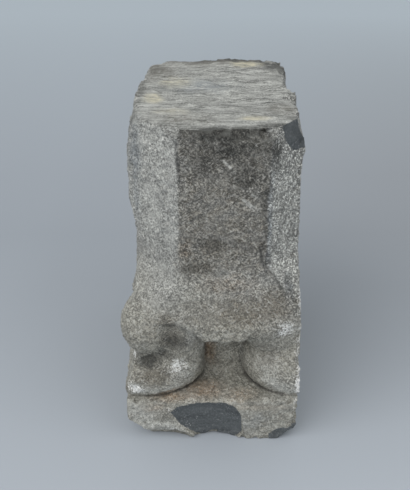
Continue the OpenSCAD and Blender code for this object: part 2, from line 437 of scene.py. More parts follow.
def surface_points(field, axes, cells):
    """One corner for each crossed cell: the middle of the points where the surface cuts its edges."""
    total, hits = np.zeros((len(cells), 3)), np.zeros(len(cells))
    ahead = np.eye(3, dtype=int)
    for axis, line in enumerate(axes):
        u, v = (axis + 1) % 3, (axis + 2) % 3
        for du in (0, 1):
            for dv in (0, 1):
                start = cells + du * ahead[u] + dv * ahead[v]
                end = start + ahead[axis]
                d0, d1 = field[tuple(start.T)], field[tuple(end.T)]
                cross = (d0 < 0) != (d1 < 0)
                part = np.where(cross, d0 / np.where(cross, d0 - d1, 1), 0)
                place = np.stack([each[start[:, i]] for i, each in enumerate(axes)], 1)
                place[:, axis] += part * (line[end[:, axis]] - line[start[:, axis]])
                total += place * cross[:, None]
                hits += cross
    return total / hits[:, None]


def surface_faces(inside, number):
    """One face across each grid edge that leaves the stone, from the numbers of the four cells round it."""
    around = ((1, 1), (0, 1), (0, 0), (1, 0))
    ahead = np.eye(3, dtype=int)
    faces = []
    for axis in range(3):
        u, v = (axis + 1) % 3, (axis + 2) % 3
        first = inside.take(range(0, inside.shape[axis] - 1), axis)
        second = inside.take(range(1, inside.shape[axis]), axis)
        edges = np.argwhere(first != second)
        ring = [number[tuple((edges - du * ahead[u] - dv * ahead[v]).T)] for du, dv in around]
        ring = np.stack(ring, 1)
        outward = first[tuple(edges.T)]
        faces.append(np.where(outward[:, None], ring, ring[:, ::-1]))
    return np.concatenate(faces)


def net(field, axes):
    """Closed mesh on the field's zero surface."""
    inside = field < 0
    count = np.zeros(tuple(n - 1 for n in field.shape), np.int8)
    for i in (0, 1):
        for j in (0, 1):
            for k in (0, 1):
                count += inside[i:i + count.shape[0], j:j + count.shape[1], k:k + count.shape[2]]
    crossed = (count > 0) & (count < 8)
    cells = np.argwhere(crossed)
    number = np.full(crossed.shape, -1, np.int32)
    number[crossed] = np.arange(len(cells))
    return surface_points(field, axes, cells), surface_faces(inside, number)


def rough_out():
    """The carved block as a mesh object in metres."""
    corners, faces = net(*carve())
    mesh = bpy.data.meshes.new("carved_block")
    mesh.from_pydata((corners / MM).tolist(), [], faces.tolist())
    mesh.validate()
    stone = bpy.data.objects.new("carved_block", mesh)
    bpy.context.scene.collection.objects.link(stone)
    return stone


def corners_of(stone):
    """The mesh's corners in millimetres."""
    flat = np.zeros(len(stone.data.vertices) * 3, np.float32)
    stone.data.vertices.foreach_get("co", flat)
    return flat.reshape(-1, 3) * MM


def normals_of(stone):
    """The outward direction at each corner."""
    flat = np.zeros(len(stone.data.vertices) * 3, np.float32)
    stone.data.vertices.foreach_get("normal", flat)
    return flat.reshape(-1, 3)


def thin_out(stone):
    """Fewer faces where little is carved: the back, the underside and the rough sides."""
    x, y, z = corners_of(stone).T
    nx, ny, nz = normals_of(stone).T
    # 0 keeps the faces, 1 thins them most
    coarse = 0.05 + 0.55 * ease((y - FRONT - 80) / 60)
    coarse = np.where(nz > 0.7, 0.45, coarse)
    coarse = np.where(ny > 0.6, 0.78, coarse)
    coarse = np.where((nz < -0.7) & (z < 4), 0.85, coarse)
    group = stone.vertex_groups.new(name="coarse")
    steps = np.round(coarse * 20) / 20
    for step in np.unique(steps):
        group.add(np.nonzero(steps == step)[0].tolist(), float(step), "REPLACE")
    thin = stone.modifiers.new("thin_out", "DECIMATE")
    quads = len(stone.data.polygons)
    thin.ratio = min(1, TRIANGLES / (2 * quads))
    thin.use_collapse_triangulate = True
    thin.vertex_group = group.name
    thin.vertex_group_factor = 1
    made_plain(stone)
    stone.vertex_groups.clear()
    drop_crumbs(stone)


def drop_crumbs(stone):
    """Removes the crumbs that a break has cut free of the block."""
    shape = bmesh.new()
    shape.from_mesh(stone.data)
    left, pieces = set(shape.verts), []
    while left:
        ends = [left.pop()]
        piece = set(ends)
        while ends:
            near = {vert for edge in ends.pop().link_edges for vert in edge.verts} - piece
            piece |= near
            ends.extend(near)
        left -= piece
        pieces.append(piece)
    crumbs = [vert for piece in sorted(pieces, key=len)[:-1] for vert in piece]
    bmesh.ops.delete(shape, geom=crumbs, context="VERTS")
    shape.to_mesh(stone.data)
    shape.free()


def made_plain(stone):
    """Applies the object's modifiers, and leaves a plain mesh."""
    shape = stone.evaluated_get(bpy.context.evaluated_depsgraph_get())
    plain = bpy.data.meshes.new_from_object(shape)
    stone.modifiers.clear()
    old = stone.data
    stone.data = plain
    bpy.data.meshes.remove(old)
    plain.name = stone.name


# ---------------------------------------------------------------- where the stone is weathered, and where shade is painted
def spot(place, centre, radii):
    """1 at the centre of a soft oval spot, falling to 0 outside it."""
    away = sum(((line - middle) / radius) ** 2 for line, middle, radius in zip(place, centre, radii))
    return np.exp(-1.2 * away)


def spots(place, *marks):
    """The strongest of several spots, each (strength, centre, radii)."""
    return np.maximum.reduce([strength * spot(place, centre, radii) for strength, centre, radii in marks])


def scratches(place, *lines):
    """Thin pale lines, each (strength, start, end, half width)."""
    total = 0
    for strength, start, end, half_width in lines:
        start, run = np.array(start, float), np.subtract(end, start)
        away = [line - first for line, first in zip(place, start)]
        t = np.clip(sum(a * r for a, r in zip(away, run)) / (run @ run), 0, 1)
        gap = np.sqrt(sum((a - t * r) ** 2 for a, r in zip(away, run)))
        total = np.maximum(total, strength * ease(1.6 - gap / half_width))
    return total


def kinds_of_face(place, normals):
    """How far each corner lies on each kind of face, from 0 to 1."""
    x, y, z = place
    nx, ny, nz = normals
    front, slant_left, slant_right = facets(x, y, z)
    upright = ease((-ny - 0.35) / 0.2)
    past_left = ease(0.5 + (slant_left - front) / 5)
    past_right = ease(0.5 + (slant_right - front) / 4)
    right = upright * past_right * ease((z - 192) / 10)
    split = ease((nz - 0.5) / 0.3) * ease((z - TOP + 22) / 8)
    corner_chip = ease(-outline(CORNER_CHIP, x, z) / 1.6) * ease((nx - ny - 0.5) / 0.3) * (1 - split)
    return {
        "split": split,
        "side": ease((np.abs(nx) - 0.55) / 0.25) * ease((y - FRONT - 85) / 40),
        "cleft": ease((ny - 0.5) / 0.3),
        "left": upright * past_left * ease((z - 262) / 50),
        "right": right,
        "front": upright * (1 - past_left) * (1 - right) * ease((z - 205) / 50),
        "plinth": ease((-ny - 0.75) / 0.2) * ease((PLINTH_H - 1 - z) / 3),
        "spall": ease(-outline(SPALL, x, z) / 1.2) * ease((FRONT + 14 - y) / 3),
        "corner_chip": corner_chip * ease((-104 - y - 0.2 * (z - 430)) / 2),
    }


def fresh_breaks(place, on):
    """Young dark breaks: the plinth's flake, the top's front corner and the plinth's right corner."""
    low_corner = spots(
        place,
        (1.2, (106, -193, 5), (30, 16, 16)),
        (1.1, (118, -194, 14), (10, 14, 20)),
    )
    return np.clip(np.maximum(np.maximum(on["spall"], on["corner_chip"]), low_corner), 0, 1)


def brown_stains_and_back_shade(place, on):
    """Brown earth on the front facet, the apron, the feet and the back of the top, where the spot along the
    back rim is painted shade.
    """
    facet = 0.8 * on["front"] * ease((place[2] - 215) / 60)
    return np.maximum(facet, spots(
        place,
        (1.3, (4, -166, 292), (38, 20, 22)),
        (0.9, (38, -166, 364), (24, 20, 34)),
        (0.6, (78, -172, 130), (34, 20, 22)),
        (1.3, (-14, -168, 264), (32, 20, 16)),
        (1.15, (46, -178, 206), (58, 24, 32)),
        (0.7, (36, -172, 174), (36, 20, 16)),
        (0.5, (-76, -180, 178), (18, 20, 30)),
        (0.9, (-34, -168, 285), (12, 20, 34)),
        (0.8, (20, -170, 240), (50, 20, 16)),
        (0.9, (-58, -184, 192), (16, 20, 15)),
        (1.0, (-52, -170, 160), (22, 20, 18)),
        (0.9, (5, -131, 96), (16, 14, 24)),
        (1.0, (-76, -186, 104), (36, 20, 18)),
        (1.3, (84, -172, 212), (34, 22, 30)),
        (0.6, (10, -181, 205), (60, 20, 30)),
        (0.4, (-70, -196, 52), (40, 8, 14)),
        # painted shade along the top's back rim
        (1.0, (20, 190, 450), (120, 44, 10)),
        (0.8, (-80, 110, 450), (34, 70, 10)),
        (0.5, (0, 0, 0), (300, 300, 26)),
        (0.6, (-30, -120, 450), (40, 30, 10)),
        (0.6, (92, -80, 450), (26, 30, 10)),
    ))


def ochre_stains(place):
    """Ochre earth on the ledge, in the niche and faintly round the cove."""
    return spots(
        place,
        (1.0, (-52, -184, 70), (36, 16, 8)),
        (1.1, (-10, -170, 70), (36, 26, 8)),
        (0.6, (40, -180, 68), (36, 22, 10)),
        (0.5, (-75, -196, 58), (26, 8, 12)),
        (0.4, (60, -196, 58), (60, 8, 10)),
        (1.1, (-1, -131, 112), (10, 10, 26)),
        (0.35, (-34, -168, 292), (14, 20, 26)),
        (0.35, (22, -170, 242), (54, 20, 20)),
    )


def soot_and_painted_shade(place):
    """Soot down the right arris and between the feet, and painted shade under the top's front rim and its
    left slant, on the back of the top, on the niche's walls, under the apron's lip, above the right foot,
    beside the apron's right edge, on the top's right front corner chip and beside the plinth's flake.
    """
    return spots(
        place,
        # painted shade under the top's front rim
        (1.3, (18, -160, 442), (66, 20, 12)),
        (0.95, (22, -166, 426), (54, 12, 24)),
        (0.8, (-10, -166, 410), (24, 12, 26)),
        (0.8, (66, -166, 428), (14, 14, 34)),
        (0.7, (68, -166, 380), (8, 14, 40)),
        (1.0, (66, -166, 350), (6, 12, 16)),
        (0.6, (70, -166, 320), (5, 12, 22)),
        (1.0, (78, -158, 420), (15, 16, 32)),
        (0.8, (42, -166, 394), (30, 12, 34)),
        (0.7, (0, -166, 298), (34, 12, 16)),
        (0.7, (-18, -167, 264), (30, 12, 12)),
        (0.7, (66, -165, 290), (4, 10, 16)),
        (1.1, (-44, -172, 158), (24, 22, 16)),
        (1.3, (-84, -174, 124), (22, 18, 12)),
        (0.9, (-62, -172, 132), (20, 16, 10)),
        (0.5, (-62, -180, 110), (18, 14, 8)),
        # painted shade above the right foot, where it meets the apron
        (0.6, (52, -150, 142), (12, 22, 10)),
        (0.7, (82, -167, 158), (10, 12, 8)),
        # painted shade on the niche's side walls and under the apron's lip over it
        (0.6, (-10, -140, 112), (8, 40, 44)),
        (0.5, (44, -140, 110), (7, 30, 40)),
        (0.5, (18, -150, 166), (34, 30, 8)),
        # painted shade beside the apron's right edge
        (0.4, (96, -168, 228), (9, 14, 22)),
        (1.0, (86, -148, 450), (36, 16, 8)),
        # painted shade along the top's front rim
        (1.4, (22, -161, 447), (84, 12, 9)),
        # painted shade on the back of the top, right
        (1.2, (104, 150, 450), (26, 60, 10)),
        (0.7, (-97, 10, 450), (9, 80, 10)),
        (0.6, (-98, -98, 448), (12, 18, 10)),
        # painted shade on the top's right front corner chip
        (0.9, (112, -128, 432), (16, 14, 18)),
        # painted shadow beside the plinth's flake
        (0.6, (-62, -196, 40), (16, 8, 7)),
        # painted shade under the top's rim over the left slanting facet
        (0.8, (-84, -126, 449), (13, 13, 3)),
        (0.7, (-62, -146, 449), (13, 13, 3)),
        # painted shade along the top's back rim
        (1.1, (40, 196, 448), (120, 30, 12)),
        (0.4, (-80, 120, 450), (30, 60, 10)),
        (1.0, (116, 110, 446), (5, 40, 10)),
        (1.0, (117, -6, 444), (5, 22, 10)),
        (0.8, (-104, -74, 446), (8, 12, 8)),
        (0.7, (-104, -64, 405), (6, 40, 60)),
    )


def cool_stains_and_crease_shade(place, on):
    """Blue-grey stone down the right facet, along the arrises and in the middle of the top, and blue-grey
    painted shade beside the apron's right edge.
    """
    return np.maximum(0.15 * on["right"], spots(
        place,
        (1.1, (-98, -108, 400), (14, 16, 60)),
        (1.0, (73, -162, 330), (7, 12, 90)),
        (0.8, (-96, -108, 340), (8, 12, 40)),
        # painted shade beside the apron's right edge
        (1.3, (103, -164, 228), (9, 16, 32)),
        (0.8, (-32, -166, 412), (9, 12, 34)),
        (0.6, (60, -196, 30), (40, 8, 26)),
        (0.8, (-14, 30, 450), (60, 40, 10)),
    ))


def pale_stone(place, on):
    """Pale worn stone on both slanting facets, the plinth, the toes and the right foot."""
    slants = np.maximum(0.65 * on["left"], 0.65 * on["right"])
    return np.maximum(slants, np.maximum(0.35 * on["plinth"], spots(
        place,
        (0.6, (-62, -146, 380), (18, 26, 90)),
        (0.9, (-33, -166, 404), (9, 12, 40)),
        (0.6, (-26, -178, 164), (12, 20, 22)),
        (0.9, (-42, -176, 100), (26, 20, 14)),
        (0.8, (-95, -192, 88), (26, 14, 12)),
        (1.5, (104, -182, 88), (32, 16, 20)),
        (0.9, (-60, -180, 84), (50, 20, 12)),
        (0.7, (100, -160, 74), (40, 40, 6)),
        (0.6, (80, -176, 116), (26, 20, 24)),
        (1.4, (-75, -196, 18), (46, 14, 20)),
        (1.2, (-94, -196, 46), (34, 8, 26)),
        (0.4, (14, -165, 330), (50, 12, 26)),
        (0.2, (10, -196, 68), (116, 6, 3)),
        (0.8, (-20, -176, 70), (70, 24, 6)),
    )))


def scratched(place):
    """Scratches by the right arris, on the front facet, across the flake and on the left facet."""
    return scratches(
        place,
        (1.0, (39, -165, 361), (65, -166, 343), 1.4),
        (0.9, (44, -165, 354), (60, -166, 342), 1.1),
        (0.9, (50, -165, 368), (66, -166, 354), 1.1),
        (1.0, (15, -165, 411), (24, -165, 402), 1.2),
        (0.5, (-40, -190, 29), (-2, -189, 27), 1.2),
        (0.5, (-2, -189, 27), (36, -190, 22), 1.2),
        (0.6, (-74, -132, 400), (-70, -136, 330), 1.0),
    )


def cracks_and_crease_shade(place):
    """Cracks in the left arris and one crack in the top, and painted shade along the crease at the right
    facet's foot.
    """
    return scratches(
        place,
        (1.0, *CRACK, 2.6),
        (1.0, (-40, -166.3, 395), (-38.5, -166.6, 386), 2.0),
        (0.8, (62, -165, 296), (68, -165, 268), 1.3),
        # painted shade along the crease between the apron and the right facet
        (0.5, (75, -165, 264), (95, -169, 233), 1.4),
        (0.5, (95, -169, 233), (105, -177, 207), 1.4),
        (0.4, (105, -177, 207), (113, -183, 192), 1.2),
        (0.7, (-80, -36, 450), (-66, -44, 450), 1.6),
    )


def bruised(place):
    """White crushed stone on the toes, the right foot's cut edge and the edges that stick out."""
    return spots(
        place,
        (1.0, (-44, -180, 118), (18, 16, 12)),
        (1.15, (-102, -190, 88), (17, 10, 11)),
        (1.05, (100, -188, 181), (18, 12, 16)),
        (1.2, (-106, -168, 129), (6, 10, 8)),
        (1.1, (-94, -112, 450), (7, 7, 5)),
        (1.2, (121, -190, 96), (7, 20, 36)),
        (1.3, (121, -184, 150), (5, 16, 60)),
        (1.0, (120, -160, 215), (4, 16, 40)),
        (1.0, (-104, -106, 270), (4, 10, 34)),
        (0.2, (20, -190, 66), (110, 12, 5)),
        (0.8, (84, -152, 449), (6, 6, 4)),
        (0.6, (118, -140, 420), (6, 12, 14)),
        (0.5, (-60, -196, 54), (12, 8, 6)),
        (0.4, (-76, -194, 18), (44, 14, 14)),
    )


def lichen_crust(place):
    """Yellowish crusts on the top."""
    return spots(
        place,
        (1.3, (-76, -26, 450), (14, 20, 8)),
        (0.9, (-50, 50, 450), (26, 34, 8)),
        (1.8, (58, 158, 450), (22, 20, 8)),
        (1.1, (54, -116, 450), (20, 10, 8)),
        (0.6, (-50, -90, 450), (26, 20, 8)),
    )


def weathering_and_painted_shade(stone):
    """Writes how strongly each finish and each painted shade shows at every corner: 0 is none of it, 1 is
    full, and the strongest spots go past that."""
    place = corners_of(stone).T
    x, y, z = place
    on = kinds_of_face(place, normals_of(stone).T)
    low_down = ease((300 + 40 * cloud(x, y, z, 50, 11) - z) / 150)
    unbroken = (1 - on["split"]) * (1 - on["spall"]) * (1 - on["corner_chip"])
    grain = 0.41 + 0.66 * on["right"] + 0.2 * on["front"] - 0.04 * low_down
    marks = {
        "split": on["split"],
        "side": on["side"],
        "bedded": np.maximum(on["split"], 0.5 * on["side"]),
        "fresh": fresh_breaks(place, on),
        "brown": brown_stains_and_back_shade(place, on),
        "ochre": ochre_stains(place),
        "soot_and_shade": soot_and_painted_shade(place),
        "cool": cool_stains_and_crease_shade(place, on),
        "pale": pale_stone(place, on),
        "scratch": scratched(place),
        "crack_and_shade": cracks_and_crease_shade(place),
        "bruise": bruised(place),
        "lichen": lichen_crust(place),
        "layer": on["cleft"] * (0.5 + 0.2 * layers(x, y, z)),
        "cleft": on["cleft"],
        "tooled": unbroken * (1 - 0.6 * on["cleft"]) * ease(z / 4),
        "pecked": grain - 0.05 * on["plinth"] - 0.2 * on["cleft"],
        "earthy": low_down * (1 - 0.5 * np.maximum(on["side"], on["cleft"])),
        # where the painted shade in the hollows shows: the low front, above the ledge
        "hollow_shade_reach": 0.2 + 0.8 * low_down * ease((-80 - y) / 30) * ease((z - 63) / 5) * ease((108 - x) / 8),
        "crest": crest(stone),
    }
    for name, amount in marks.items():
        written = stone.data.attributes.new(name, "FLOAT", "POINT")
        written.data.foreach_set("value", amount.astype(np.float32))


def crest(stone):
    """1 on sharp arrises, 0 in hollows and 0.5 on flat faces, from how each corner stands to its
    neighbours."""
    corners, normals = corners_of(stone), normals_of(stone)
    count = len(stone.data.edges)
    pairs = np.zeros(count * 2, np.int32)
    stone.data.edges.foreach_get("vertices", pairs)
    first, second = pairs.reshape(-1, 2).T
    ends, others = np.concatenate((first, second)), np.concatenate((second, first))
    run = corners[others] - corners[ends]
    fall = -np.einsum("ij,ij->i", run, normals[ends]) / (np.linalg.norm(run, axis=1) + 1e-6)
    size = len(corners)
    share = np.maximum(np.bincount(ends, minlength=size), 1)
    sharp = np.bincount(ends, fall, size) / share
    for _ in range(3):
        sharp = 0.5 * sharp + 0.5 * np.bincount(ends, sharp[others], size) / share
    return np.clip(0.5 + 1.6 * sharp, 0, 1)


# ---------------------------------------------------------------- node helpers
def add(tree, kind, inputs=None, **settings):
    """A node with its settings and inputs. An input is a plain value or another node's output."""
    made = tree.nodes.new(kind)
    for name, value in settings.items():
        setattr(made, name, value)
    for name, value in (inputs or {}).items():
        socket = made.inputs[name]
        if isinstance(value, bpy.types.NodeSocket):
            tree.links.new(value, socket)
        else:
            socket.default_value = value
    return made


def maths(tree, operation, a, b=0.0, clamp=False):
    """One step of arithmetic on two inputs, each a plain value or another node's output."""
    return add(tree, "ShaderNodeMath", {0: a, 1: b}, operation=operation, use_clamp=clamp).outputs[0]


def spread(tree, value, low_in, high_in, low_out=0.0, high_out=1.0):
    """Maps one range of a number to another, clamped."""
    levels = {"Value": value, "From Min": low_in, "From Max": high_in, "To Min": low_out, "To Max": high_out}
    return add(tree, "ShaderNodeMapRange", levels).outputs[0]


def stretched(tree, vector, sizes, turn=(0.0, 0.0, 0.0)):
    """Coordinates turned and then measured in those sizes, so that a pattern is long one way."""
    place = {"Vector": vector, "Scale": sizes, "Rotation": turn}
    return add(tree, "ShaderNodeMapping", place, vector_type="TEXTURE").outputs[0]


def noise(tree, vector, scale, detail=3.0, rough=0.5, warp=0.0):
    """Fractal noise with that many bumps to the metre."""
    levels = {"Vector": vector, "Scale": scale, "Detail": detail, "Roughness": rough, "Distortion": warp}
    return add(tree, "ShaderNodeTexNoise", levels).outputs[0]


def tint(red, green, blue):
    """A colour given in screen steps of 0 to 255, as the shader's linear colour."""
    def linear(step):
        step /= 255
        return step / 12.92 if step <= 0.04045 else ((step + 0.055) / 1.055) ** 2.4
    return (linear(red), linear(green), linear(blue), 1.0)


def paint(tree, amount, under, over, blend="MIX"):
    """Lays one colour over another by that amount."""
    made = tree.nodes.new("ShaderNodeMix")
    made.data_type = "RGBA"
    made.blend_type = blend
    for socket, value in ((made.inputs[0], amount), (made.inputs[6], under), (made.inputs[7], over)):
        if isinstance(value, bpy.types.NodeSocket):
            tree.links.new(value, socket)
        else:
            socket.default_value = value
    return made.outputs[2]


# ---------------------------------------------------------------- relief left by the mason's tools
def dressing_tree():
    """Geometry nodes that pock the dressed faces with a pick and split the top along its beds."""
    tree = bpy.data.node_groups.new("stone_dressing", "GeometryNodeTree")
    face = tree.interface
    face.new_socket("Geometry", in_out="INPUT", socket_type="NodeSocketGeometry")
    sizes = {"Pick Pitch": 0.0068, "Pick Depth": 0.0016, "Bed Depth": 0.0026, "Flake Depth": 0.0007}
    for name, size in sizes.items():
        socket = face.new_socket(name, in_out="INPUT", socket_type="NodeSocketFloat")
        socket.default_value = size
    face.new_socket("Material", in_out="INPUT", socket_type="NodeSocketMaterial")
    face.new_socket("Geometry", in_out="OUTPUT", socket_type="NodeSocketGeometry")
    given = tree.nodes.new("NodeGroupInput").outputs
    place = tree.nodes.new("GeometryNodeInputPosition").outputs[0]
    outward = tree.nodes.new("GeometryNodeInputNormal").outputs[0]

    def mask(name):
        return add(tree, "GeometryNodeInputNamedAttribute", {"Name": name}, data_type="FLOAT").outputs[0]

    per_metre = maths(tree, "DIVIDE", 1.0, given["Pick Pitch"])
    picks = add(tree, "ShaderNodeTexVoronoi", {"Vector": place, "Scale": per_metre}, feature="F1").outputs[0]
    pocks = spread(tree, picks, 0.15, 0.75, -1.0, 0.3)
    patchy = spread(tree, noise(tree, place, 26.0, 2.0), 0.35, 0.65, 0.35, 1.0)
    ragged = spread(tree, noise(tree, place, 130.0, 3.0, 0.6), 0.3, 0.7, -0.7, 0.7)
    pocks = maths(tree, "ADD", maths(tree, "MULTIPLY", pocks, patchy), ragged)
    pocks = maths(tree, "MULTIPLY", pocks, mask("tooled"))
    depth = maths(tree, "MULTIPLY", pocks, given["Pick Depth"])

    squeezed = {0: place, 1: (17.0, 120.0, 17.0)}
    along = add(tree, "ShaderNodeVectorMath", squeezed, operation="MULTIPLY").outputs[0]
    beds = noise(tree, along, 1.0, 4.0, 0.6, 0.8)
    beds = maths(tree, "MULTIPLY", spread(tree, beds, 0.25, 0.75, -1.0, 0.3), mask("bedded"))
    beds = maths(tree, "MULTIPLY", beds, given["Bed Depth"])

    flakes = noise(tree, place, 90.0, 3.0, 0.6)
    flakes = maths(tree, "MULTIPLY", spread(tree, flakes, 0.3, 0.7, -1.0, 0.2), mask("fresh"))
    flakes = maths(tree, "MULTIPLY", flakes, given["Flake Depth"])

    total = maths(tree, "ADD", maths(tree, "ADD", depth, beds), flakes)
    offset = add(tree, "ShaderNodeVectorMath", {0: outward, "Scale": total}, operation="SCALE").outputs[0]
    moved = add(tree, "GeometryNodeSetPosition", {"Geometry": given["Geometry"], "Offset": offset}).outputs[0]
    real = add(tree, "GeometryNodeRealizeInstances", {"Geometry": moved}).outputs[0]
    finish = {"Geometry": real, "Material": given["Material"]}
    finished = add(tree, "GeometryNodeSetMaterial", finish).outputs[0]
    tree.links.new(finished, tree.nodes.new("NodeGroupOutput").inputs[0])
    return tree


def dress(stone, material):
    """Applies the tool relief and leaves a plain mesh."""
    stone.data.materials.append(material)
    tree = dressing_tree()
    relief = stone.modifiers.new("dressing", "NODES")
    relief.node_group = tree
    for socket in tree.interface.items_tree:
        if socket.in_out == "INPUT" and socket.name == "Material":
            relief[socket.identifier] = material
    made_plain(stone)


# ---------------------------------------------------------------- the stone's finish
def mark(tree, name):
    """How strongly one kind of weathering shows."""
    return add(tree, "ShaderNodeAttribute", attribute_name=name).outputs["Fac"]


def patch(tree, seen, name, strength):
    """A patch of stain, soot and painted shade alike, whose edge is broken up by the mottling."""
    torn_edge = spread(tree, seen["broken"], 0.0, 1.0, 0.45, 1.2)
    ragged = maths(tree, "MULTIPLY", mark(tree, name), torn_edge)
    return maths(tree, "MULTIPLY", spread(tree, ragged, 0.12, 0.85), strength)


def blend(tree, first, share, second, other_share):
    """Two patterns added in those shares."""
    first = maths(tree, "MULTIPLY", first, share)
    return maths(tree, "ADD", first, maths(tree, "MULTIPLY", second, other_share))


def pick_marks(tree, place):
    """Small ragged pick marks, and one random number for each."""
    wobble = add(tree, "ShaderNodeTexNoise", {"Vector": place, "Scale": 170.0, "Detail": 3.0}).outputs[1]
    nudged = {0: wobble, 1: (0.016, 0.016, 0.016), 2: place}
    shaken = add(tree, "ShaderNodeVectorMath", nudged, operation="MULTIPLY_ADD").outputs[0]
    cells = add(tree, "ShaderNodeTexVoronoi", {"Vector": shaken, "Scale": 270.0}, feature="F1")
    picks = spread(tree, cells.outputs[0], 0.12, 0.6, 1.0, 0.0)
    return picks, add(tree, "ShaderNodeSeparateColor", {0: cells.outputs[1]}).outputs[0]


def tool_strokes(tree, place):
    """Short strokes that slant both ways."""
    strokes = 0.0
    for lean in (42, -36):
        slanted = stretched(tree, place, (0.012, 0.005, 0.0016), (0.0, radians(lean), 0.0))
        strokes = maths(tree, "MAXIMUM", strokes, noise(tree, slanted, 1.0, 1.0, 0.5))
    return spread(tree, strokes, 0.54, 0.72)


def stone_patterns(tree, place):
    """The stone's own patterns: swell, mottling, grain, beds, and the marks of pick and chisel."""
    mottle = noise(tree, place, 75.0, 4.0, 0.65)
    grain = noise(tree, place, 440.0, 4.0, 0.7)
    picks, chance = pick_marks(tree, place)
    beds = stretched(tree, place, (0.036, 0.0072, 0.036), (0.0, 0.0, radians(-4)))
    return {
        "swell": noise(tree, place, 16.0, 4.0, 0.6),
        "mottle": mottle,
        "broken": spread(tree, mottle, 0.34, 0.66),
        "grain": grain,
        "salt": spread(tree, grain, 0.34, 0.66),
        "picks": picks,
        "chance": chance,
        "strokes": tool_strokes(tree, place),
        "streaks": noise(tree, beds, 1.0, 5.0, 0.72, 1.1),
    }


def bare_stone(tree, place, seen):
    """Mottled grey, with streaks on the sides, beds on the back, and warmer near the ground."""
    tone = blend(tree, seen["swell"], 0.5, seen["mottle"], 0.5)
    colour = paint(tree, spread(tree, tone, 0.36, 0.64), tint(134, 134, 131), tint(170, 170, 165))
    streaky = spread(tree, seen["streaks"], 0.4, 0.62)
    side_beds = paint(tree, streaky, tint(110, 111, 108), tint(176, 177, 172))
    colour = paint(tree, maths(tree, "MULTIPLY", mark(tree, "side"), 0.6), colour, side_beds)
    bed_tone = paint(tree, mark(tree, "layer"), tint(122, 124, 123), tint(170, 171, 167))
    colour = paint(tree, maths(tree, "MULTIPLY", mark(tree, "cleft"), 0.65), colour, bed_tone)
    shade = spread(tree, noise(tree, place, 9.0, 3.0, 0.55), 0.35, 0.65, 0.84, 1.1)
    rear = maths(tree, "MAXIMUM", mark(tree, "side"), mark(tree, "cleft"))
    colour = paint(tree, rear, colour, paint(tree, 1.0, colour, shade, "MULTIPLY"))
    warm = maths(tree, "MULTIPLY", mark(tree, "earthy"), 0.65)
    return paint(tree, warm, colour, tint(246, 240, 225), "MULTIPLY")


def stained_and_shaded(tree, seen, colour):
    """Wear, earth, and soot with painted shade, each laid over the last."""
    stains = (
        ("pale", 0.6, tint(200, 200, 194)),
        ("cool", 0.7, tint(116, 122, 127)),
        ("brown", 0.75, tint(106, 99, 87)),
        ("ochre", 0.65, tint(150, 122, 92)),
        ("soot_and_shade", 0.85, tint(56, 56, 53)),
    )
    for name, strength, shade in stains:
        colour = paint(tree, patch(tree, seen, name, strength), colour, shade)
    return colour


def pecked(tree, place, seen, colour):
    """Light and dark grain, strongest where the pick has dressed the stone."""
    lively = maths(tree, "SUBTRACT", blend(tree, seen["salt"], 0.6, seen["picks"], 0.35), 0.455)
    patchy = spread(tree, noise(tree, place, 34.0, 3.0, 0.6), 0.36, 0.64, 3.3, 6.2)
    lively = maths(tree, "MULTIPLY", lively, maths(tree, "MULTIPLY", mark(tree, "pecked"), patchy))
    lively = maths(tree, "MAXIMUM", maths(tree, "ADD", lively, 1.0), 0.4)
    return paint(tree, 1.0, colour, lively, "MULTIPLY")


def scored(tree, seen, colour):
    """Pale slanting strokes, single bright pick marks, and scratches."""
    soot_and_shade = maths(tree, "MULTIPLY", mark(tree, "soot_and_shade"), 0.8)
    clean = maths(tree, "SUBTRACT", mark(tree, "tooled"), soot_and_shade, True)
    strokes = maths(tree, "MULTIPLY", seen["strokes"], maths(tree, "MULTIPLY", seen["broken"], clean))
    colour = paint(tree, maths(tree, "MULTIPLY", strokes, 0.7), colour, tint(188, 188, 181))
    chosen = maths(tree, "ADD", seen["chance"], maths(tree, "MULTIPLY", seen["broken"], 0.35))
    flecks = maths(tree, "MULTIPLY", seen["picks"], clean)
    flecks = maths(tree, "MULTIPLY", spread(tree, chosen, 0.85, 1.1), flecks)
    colour = paint(tree, maths(tree, "MULTIPLY", flecks, 0.45), colour, tint(206, 206, 200))
    scratch = maths(tree, "MULTIPLY", mark(tree, "scratch"), maths(tree, "ADD", seen["salt"], 0.45))
    return paint(tree, maths(tree, "MULTIPLY", scratch, 0.65, True), colour, tint(206, 206, 200))


def rubbed_and_shaded(tree, seen, colour):
    """Pale arrises, partly rubbed wear and partly painted highlight, and painted shade in the hollows and
    along the feet's contact lines.
    """
    edges = maths(tree, "ADD", mark(tree, "crest"), maths(tree, "MULTIPLY", seen["salt"], 0.2))
    clear_of_soot_and_shade = spread(tree, mark(tree, "soot_and_shade"), 0.0, 0.8, 0.6, 0.1)
    # pale arrises: rubbed wear and painted highlight
    worn_and_lit = maths(tree, "MULTIPLY", spread(tree, edges, 0.78, 1.05), clear_of_soot_and_shade)
    colour = paint(tree, worn_and_lit, colour, tint(190, 190, 182))
    # painted shade in the hollows and along the feet's contact lines
    hollow_shade = maths(tree, "MULTIPLY", spread(tree, mark(tree, "crest"), 0.43, 0.22), mark(tree, "hollow_shade_reach"))
    return paint(tree, maths(tree, "MULTIPLY", hollow_shade, 0.85), colour, tint(46, 44, 40))


